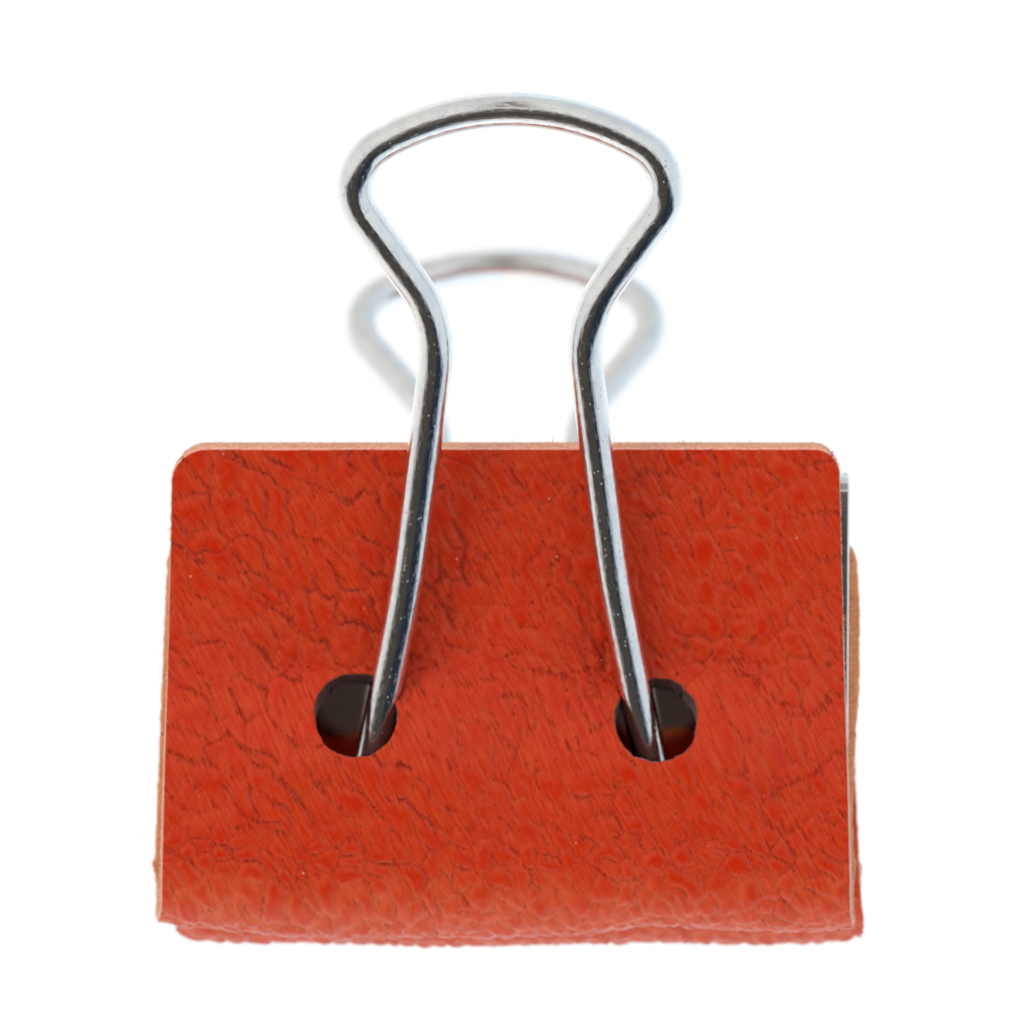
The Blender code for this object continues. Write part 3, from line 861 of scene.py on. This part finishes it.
class Nodes:
    """A material's node tree, with short calls for the nodes used here."""

    def __init__(self, name="", tree=None):
        if tree is None:
            self.material = bpy.data.materials.new(name)
            self.material.use_nodes = True
            tree = self.material.node_tree
            self.shader = tree.nodes["Principled BSDF"]
        self.tree = tree

    def put(self, socket, value):
        if isinstance(value, bpy.types.NodeSocket):
            self.tree.links.new(value, socket)
        else:
            socket.default_value = value

    def node(self, kind, inputs=(), **settings):
        """A new node. inputs pairs the numbers or names of its inputs with numbers, vectors or outputs."""
        made = self.tree.nodes.new(kind)
        for key, value in settings.items():
            setattr(made, key, value)
        for key, value in dict(inputs).items():
            self.put(made.inputs[key], value)
        return made

    def layer(self, name, output="Fac"):
        """What the mesh's points hold under a name: a number, or with the output "Vector" a vector."""
        return self.node("ShaderNodeAttribute", attribute_name=name).outputs[output]

    def place(self):
        """The object's own coordinates, in metres."""
        return self.node("ShaderNodeTexCoord").outputs["Object"]

    def split(self, vector):
        return self.node("ShaderNodeSeparateXYZ", {0: vector}).outputs

    def maths(self, operation, *values):
        return self.node("ShaderNodeMath", enumerate(values), operation=operation).outputs[0]

    def add(self, a, b):
        return self.maths("ADD", a, b)

    def less(self, a, b):
        return self.maths("SUBTRACT", a, b)

    def times(self, a, b):
        return self.maths("MULTIPLY", a, b)

    def larger(self, a, b):
        return self.maths("MAXIMUM", a, b)

    def distance(self, a, b):
        return self.maths("ABSOLUTE", self.less(a, b))

    def ramp(self, value, low, high, to_low=0.0, to_high=1.0, kind="SMOOTHSTEP"):
        values = enumerate((value, low, high, to_low, to_high))
        return self.node("ShaderNodeMapRange", values, interpolation_type=kind).outputs[0]

    def curve(self, value, places):
        """Straight stretches between pairs of (degrees from -180 to 180, result from -90 to 90)."""
        value = self.ramp(value, -180.0, 180.0, kind="LINEAR")
        made = self.node("ShaderNodeFloatCurve", {"Value": value})
        line = made.mapping.curves[0]
        for across, up in places[1:-1]:
            line.points.new(across / 360 + 0.5, up / 180 + 0.5)
        for point, (across, up) in zip(line.points, places):
            point.location = (across / 360 + 0.5, up / 180 + 0.5)
            point.handle_type = "VECTOR"
        made.mapping.update()
        return self.ramp(made.outputs[0], 0.0, 1.0, -90.0, 90.0, kind="LINEAR")

    def mapped(self, vector, angle, scale):
        """Coordinates turned so that X runs along a direction in degrees, then scaled."""
        turn = {"Vector": vector, "Angle": -radians(angle)}
        turned_to = self.node("ShaderNodeVectorRotate", turn, rotation_type="Z_AXIS").outputs[0]
        return self.node("ShaderNodeVectorMath", {0: turned_to, 1: scale}, operation="MULTIPLY").outputs[0]

    def noise(self, vector, scale, detail=2.0, rough=0.5):
        values = {"Vector": vector, "Scale": scale, "Detail": detail, "Roughness": rough}
        return self.node("ShaderNodeTexNoise", values).outputs["Fac"]

    def streaks(self, vector, angle, scale, detail, rough):
        """Noise drawn out along a direction, with a scale for each axis."""
        return self.noise(self.mapped(vector, angle, scale), 1.0, detail, rough)

    def spots(self, vector, scale, edge, middle):
        """Round spots, one in each irregular cell: 0 outside the edge's radius, 1 inside the middle's."""
        made = self.node("ShaderNodeTexVoronoi", {"Vector": vector, "Scale": scale})
        return self.ramp(made.outputs["Distance"], edge, middle)

    def blend(self, share, a, b):
        return self.node("ShaderNodeMix", {0: share, 6: a, 7: b}, data_type="RGBA").outputs[2]

    def bump(self, height, distance):
        return self.node("ShaderNodeBump", {"Height": height, "Distance": distance * MM}).outputs[0]

    def finish(self, base, rough, normal=None, **others):
        """The material, once its shader's inputs are filled."""
        inputs = {"Base Color": base, "Roughness": rough, "Normal": normal, **others}
        for key, value in inputs.items():
            if value is not None:
                self.put(self.shader.inputs[key.replace("_", " ")], value)
        return self.material


def colour(red, green, blue):
    """Linear colour from 0..255 screen values."""
    values = np.array([red, green, blue]) / 255.0
    linear = np.where(values <= 0.04045, values / 12.92, ((values + 0.055) / 1.055) ** 2.4)
    return (*linear.tolist(), 1.0)


def grain_leather(name):
    """Orange-red grain in its dye: saturated smooth pebbles, brown creases with painted shade, fine parallel
    lines with painted salmon sheen, a roll lighter by stretching and by painted sheen, pores and dust.
    """
    n = Nodes(name)
    hide = n.layer("hide", "Vector")
    crease, band, smooth, stretch_and_sheen = (n.layer(key) for key in ("crease", "band", "smooth", "stretch_and_sheen"))
    lines = n.streaks(hide, -62, (0.8, 7.0, 1.0), 4.0, 0.6)
    cross_lines = n.streaks(hide, -38, (1.0, 5.0, 1.0), 2.0, 0.5)
    pebble_skin = n.noise(hide, 6.0, 4.0, 0.6)
    patch = n.noise(hide, 0.42, 3.0, 0.55)
    stripes = n.streaks(hide, -64, (1.9, 8.0, 1.0), 2.0, 0.55)
    dash = n.ramp(n.add(stripes, n.times(band, 0.26)), 0.72, 0.90)
    speck = n.spots(hide, 0.62, 0.036, 0.020)
    # Darker red-brown in the creases and the dark dashes, less on the roll: partly the grain's own colour,
    # partly painted shade in the creases.
    crease_colour_and_shade = n.larger(crease, n.times(dash, 0.65))
    crease_colour_and_shade = n.times(crease_colour_and_shade, n.less(0.72, n.times(stretch_and_sheen, 0.37)))
    # Lighter salmon strokes along the fine lines, off the smooth tops: painted sheen.
    sheen_strokes = n.times(n.less(1.0, smooth), n.ramp(lines, 0.35, 0.65, 0.60, 0.0))
    # Lighter salmon on the roll, most along the bands: partly stretched grain, partly painted sheen.
    ridge_tone_and_sheen = n.times(stretch_and_sheen, n.add(0.12, n.times(band, 0.60)))
    base = n.blend(smooth, colour(206, 48, 11), colour(208, 40, 5))
    base = n.blend(n.ramp(patch, 0.3, 0.7, 0.0, 0.4), base, colour(204, 41, 9))
    base = n.blend(sheen_strokes, base, colour(220, 84, 42))
    base = n.blend(ridge_tone_and_sheen, base, colour(238, 122, 78))
    base = n.blend(crease_colour_and_shade, base, colour(98, 17, 6))
    base = n.blend(n.times(speck, 0.8), base, colour(240, 190, 170))
    height = n.add(n.add(n.times(lines, 0.7), n.times(cross_lines, 0.5)), n.times(pebble_skin, 0.35))
    height = n.times(height, n.less(1.0, n.times(smooth, 0.6)))
    height = n.less(n.less(height, dash), n.times(crease, 0.9))
    rough = n.ramp(smooth, 0.0, 1.0, 0.34, 0.24)
    return n.finish(base, rough, n.bump(height, 0.045), Specular_IOR_Level=0.22)


def cut_leather(name):
    """Cut edge: a pale line of dye at the grain, then peach fibres without dye; darker red-brown on the walls
    of the holes.
    """
    n = Nodes(name)
    depth = n.layer("depth")
    place = n.place()
    tuft = n.noise(place, 6500.0, 3.0, 0.65)
    wide = n.noise(place, 900.0, 2.0, 0.5)
    peach = n.blend(n.ramp(tuft, 0.3, 0.7), colour(206, 112, 66), colour(242, 180, 140))
    peach = n.blend(n.ramp(wide, 0.35, 0.65, 0.0, 0.35), peach, colour(196, 120, 70))
    line = n.blend(n.ramp(tuft, 0.3, 0.7), colour(228, 120, 92), colour(250, 190, 165))
    base = n.blend(n.ramp(depth, 0.10, 0.30), line, peach)
    dark = n.blend(n.ramp(depth, 0.02, 0.12), colour(186, 92, 62), colour(92, 34, 24))
    # Darker red-brown on the walls of the holes.
    base = n.blend(n.layer("near_holes"), base, dark)
    return n.finish(base, 0.85, n.bump(tuft, 0.05), Sheen_Weight=0.3, Sheen_Roughness=0.4)


def flesh_leather(name):
    """Suede without dye on the inner side, redder near the holes, where red bounce light is painted in."""
    n = Nodes(name)
    hide = n.layer("hide", "Vector")
    nap = n.streaks(hide, -30, (3.0, 9.0, 3.0), 4.0, 0.65)
    stain = n.noise(hide, 0.5, 3.0, 0.6)
    base = n.blend(n.ramp(nap, 0.3, 0.7), colour(248, 138, 84), colour(255, 192, 138))
    base = n.blend(n.ramp(stain, 0.45, 0.75, 0.0, 0.45), base, colour(206, 104, 60))
    # Redder near the holes: painted red bounce light.
    base = n.blend(n.layer("near_holes"), base, colour(226, 88, 46))
    return n.finish(base, 0.9, n.bump(nap, 0.08), Sheen_Weight=0.4, Sheen_Roughness=0.5)


def plated_wire(name):
    """Bright nickel on drawn wire: faint lines along it, dull patches, small pits."""
    n = Nodes(name)
    draw = n.layer("draw", "Vector")
    lines = n.streaks(draw, 0, (0.35, 7.0, 7.0), 4.0, 0.7)
    patches = n.noise(draw, 1.1, 4.0, 0.65)
    chosen = n.ramp(n.noise(draw, 0.8), 0.44, 0.58)
    pit = n.times(n.spots(n.mapped(draw, 0, (2.6, 4.5, 4.5)), 1.0, 0.16, 0.07), chosen)
    base = n.blend(n.ramp(patches, 0.35, 0.7), colour(226, 227, 229), colour(238, 237, 234))
    base = n.blend(n.times(pit, 0.5), base, colour(120, 122, 128))
    scratches = n.ramp(n.streaks(draw, 0, (2.2, 11.0, 11.0), 3.0, 0.75), 0.52, 0.66)
    rough = n.add(n.ramp(patches, 0.4, 0.75, 0.06, 0.11), n.times(pit, 0.25))
    rough = n.add(rough, n.times(scratches, 0.15))
    height = n.less(n.times(lines, 0.5), n.times(pit, 0.8))
    height = n.add(height, n.times(scratches, 0.12))
    return n.finish(base, rough, n.bump(height, 0.016), Metallic=1.0)


def plated_sheet(name):
    """Bright plating on spring steel: rolling lines, scuffs, and under the leather a painted brownish shade,
    with a painted orange reflection of the leather low near the holes.
    """
    n = Nodes(name)
    place = n.place()
    rolled = n.streaks(place, 0, (120.0, 4200.0, 4200.0), 3.0, 0.6)
    scuffs = n.noise(place, 700.0, 5.0, 0.7)
    base = n.blend(n.ramp(scuffs, 0.35, 0.7), colour(221, 221, 222), colour(230, 229, 227))
    # A band low on the leaf: near the holes it carries a painted reflection of the red leather.
    edge = n.add(n.split(place)[2], n.times(n.noise(place, 420.0, 3.0), 0.0016))
    painted_reflection_band = n.times(n.ramp(edge, -0.0109, -0.0113), n.ramp(edge, -0.0160, -0.0154))
    # Where the leather covers the sheet: painted brownish shade and leather reflection in the plating's
    # colour.
    painted_shade_and_reflection = n.blend(n.times(painted_reflection_band, n.layer("near_holes")), colour(150, 132, 126), colour(240, 136, 82))
    base = n.blend(n.layer("covered"), base, painted_shade_and_reflection)
    rough = n.ramp(scuffs, 0.35, 0.75, 0.10, 0.20)
    return n.finish(base, rough, n.bump(rolled, 0.004), Metallic=1.0)


# Stage.


def make_world():
    """White surroundings whose lower front is dark, as round a clip on a light table. Angles in degrees."""
    world = bpy.data.worlds.new("studio")
    bpy.context.scene.world = world
    world.use_nodes = True
    n = Nodes(tree=world.node_tree)
    n.tree.nodes.clear()
    east, north, high = n.split(n.node("ShaderNodeTexCoord").outputs["Generated"])
    sideways = n.maths("DEGREES", n.maths("ARCTAN2", east, n.times(north, -1.0)))
    rise = n.maths("DEGREES", n.maths("ARCSINE", high))
    far = n.maths("ABSOLUTE", sideways)
    above = n.ramp(n.less(rise, n.curve(sideways, DARK_TOP)), -3.5, 4.5)
    below = n.ramp(n.less(rise, n.curve(sideways, DARK_BOTTOM)), 3.0, -5.0)
    beside = n.larger(n.ramp(sideways, -62.0, -76.0), n.ramp(sideways, 84.0, 100.0))
    light = n.larger(n.larger(above, below), beside)
    # A dark upright above the camera.
    stand = n.times(n.ramp(far, 5.0, 3.0), n.ramp(n.distance(rise, 24.0), 21.0, 17.0))
    light = n.times(light, n.less(1.0, n.times(stand, 0.9)))
    level = n.add(0.76, n.ramp(far, 70.0, 140.0, 0.0, 0.30))
    level = n.add(level, n.ramp(rise, 50.0, 10.0, 0.0, 0.10))
    level = n.add(level, n.ramp(rise, -45.0, -75.0, 0.0, 0.16))
    # The dark part is greyer straight in front, but not where the legs mirror it.
    off_legs = n.ramp(n.distance(rise, -41.0), 8.0, 22.0)
    dark = n.add(0.065, n.times(n.ramp(far, 26.0, 10.0, 0.0, 0.075), off_legs))
    lit = n.blend(n.ramp(sideways, 10.0, 60.0), (0.995, 1.0, 0.985, 1.0), (0.88, 0.98, 1.05, 1.0))
    unlit = n.blend(n.ramp(sideways, -5.0, 25.0), (1.15, 1.0, 0.88, 1.0), (0.36, 0.50, 0.78, 1.0))
    tint = n.blend(light, unlit, lit)
    strength = n.add(dark, n.times(light, n.less(level, dark)))
    room = n.node("ShaderNodeBackground", {"Color": tint, "Strength": strength}).outputs[0]
    backdrop = n.node("ShaderNodeBackground", {"Color": (1.0, 1.0, 1.0, 1.0)}).outputs[0]
    seen = n.node("ShaderNodeLightPath").outputs["Is Camera Ray"]
    choose = n.node("ShaderNodeMixShader", {0: seen, 1: room, 2: backdrop}).outputs[0]
    n.node("ShaderNodeOutputWorld", {0: choose})


def make_floor():
    """A wide pale floor with a faint unevenness, below the view."""
    n = Nodes("pale_floor")
    base = n.blend(n.noise(n.place(), 3.0), colour(236, 235, 232), colour(244, 243, 241))
    mesh = bpy.data.meshes.new("floor")
    half = FLOOR_HALF * MM
    corners = [(-half, -half, 0), (half, -half, 0), (half, half, 0), (-half, half, 0)]
    mesh.from_pydata(corners, [], [(0, 1, 2, 3)])
    mesh.materials.append(n.finish(base, 0.8))
    floor = bpy.data.objects.new("floor", mesh)
    floor.location.z = -FLOOR_DROP * MM
    floor.visible_glossy = False
    floor.visible_diffuse = False
    bpy.context.scene.collection.objects.link(floor)


def make_light(name, place, size, power):
    light = bpy.data.lights.new(name, "AREA")
    light.shape = "DISK"
    light.size = size
    light.energy = power
    obj = bpy.data.objects.new(name, light)
    obj.location = place
    obj.rotation_euler = (-obj.location).to_track_quat("-Z", "Y").to_euler()
    obj.visible_glossy = False
    obj.visible_camera = False
    bpy.context.scene.collection.objects.link(obj)


def make_camera():
    data = bpy.data.cameras.new("camera")
    data.lens = LENS
    data.sensor_width = SENSOR_WIDTH
    data.clip_start = 0.01
    camera = bpy.data.objects.new("camera", data)
    target = np.array(TARGET) * MM
    look = np.array([0.0, cos(VIEW_RISE), sin(VIEW_RISE)])
    camera.location = target - look * VIEW_DISTANCE * MM
    camera.rotation_euler = (radians(90) + VIEW_RISE, 0.0, 0.0)
    focus = bpy.data.objects.new("focus", None)
    focus.location = target - look * (VIEW_DISTANCE - FOCUS) * MM
    data.dof.use_dof = True
    data.dof.focus_object = focus
    data.dof.aperture_fstop = APERTURE
    for obj in (camera, focus):
        bpy.context.scene.collection.objects.link(obj)
    bpy.context.scene.camera = camera


def make_jaw(cover, leathers, wire, sheet):
    """Everything on one side of the clip: the tongue and the handle tied to their bodies, the strip and the
    half body baked in place, and the CAD parts they stand in for hidden.
    """
    side = cover["name"]
    jaw, lever = f"{side}_jaw", f"{side}_lever"
    strip, tongue = make_cover(cover, leathers)
    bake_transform(strip)
    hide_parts(f"{side}_cover_fold", f"{side}_cover_flap")
    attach(tongue, jaw)
    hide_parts(f"{side}_cover_fold")
    body = make_half_body(side, sheet)
    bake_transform(body)
    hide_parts(f"{side}_leaf", "spine_plate")
    handle = make_handle(side, wire, cover["handle_lean"])
    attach(handle, lever)
    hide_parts(f"{side}_handle")


def main():
    leathers = [grain_leather("grain_leather"), cut_leather("cut_leather"), flesh_leather("flesh_leather")]
    wire, sheet = plated_wire("plated_wire"), plated_sheet("plated_sheet")
    for cover in (FRONT, BACK):
        make_jaw(cover, leathers, wire, sheet)
    make_world()
    make_floor()
    for light in LIGHTS:
        make_light(*light)
    make_camera()
    bpy.context.scene.view_settings.view_transform = "Standard"


main()
